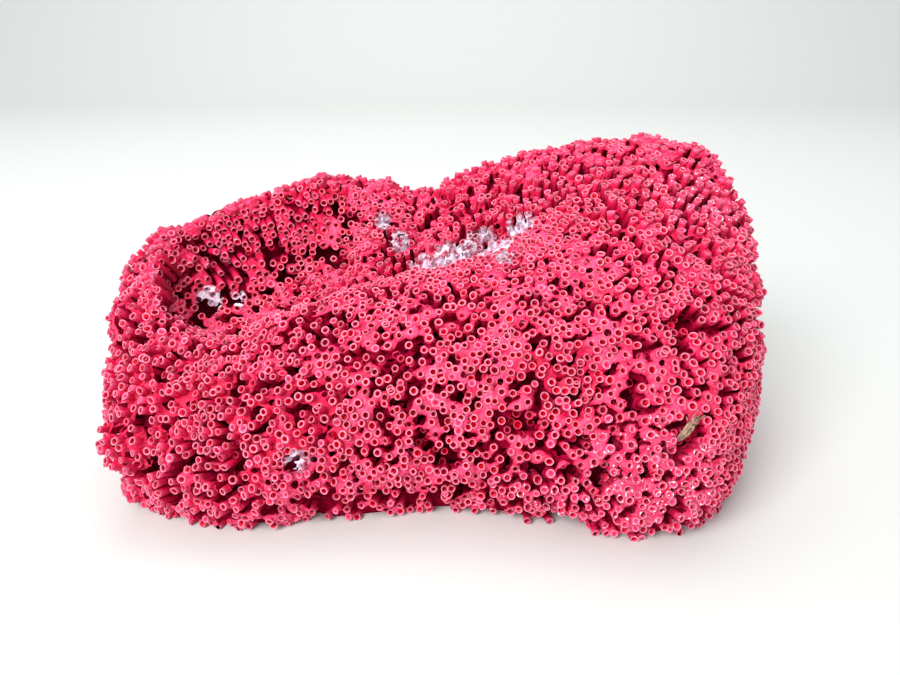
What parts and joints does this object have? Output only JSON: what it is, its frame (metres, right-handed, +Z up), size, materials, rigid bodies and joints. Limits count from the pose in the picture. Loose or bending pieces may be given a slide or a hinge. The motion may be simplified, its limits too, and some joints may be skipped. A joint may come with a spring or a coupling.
{
  "type": "organ pipe coral",
  "caption": "Loaf-shaped dry coral skeleton of radiating thin-walled pipes, cut flat at the base so that it rests on it.",
  "frame": {"origin": "middle of the bounding box at the level of the flat cut", "axes": "+X along the long side, to the right of the front face; +Y to the back; +Z up"},
  "size_m": [0.1753, 0.1036, 0.0855],
  "materials": {
    "coral": "matt, chalky red skeleton",
    "debris": "matt, tan and fibrous"
  },
  "bodies": {
    "root": {"coral_colony": "coral", "lodged_fragment": "debris"}
  },
  "joints": []
}
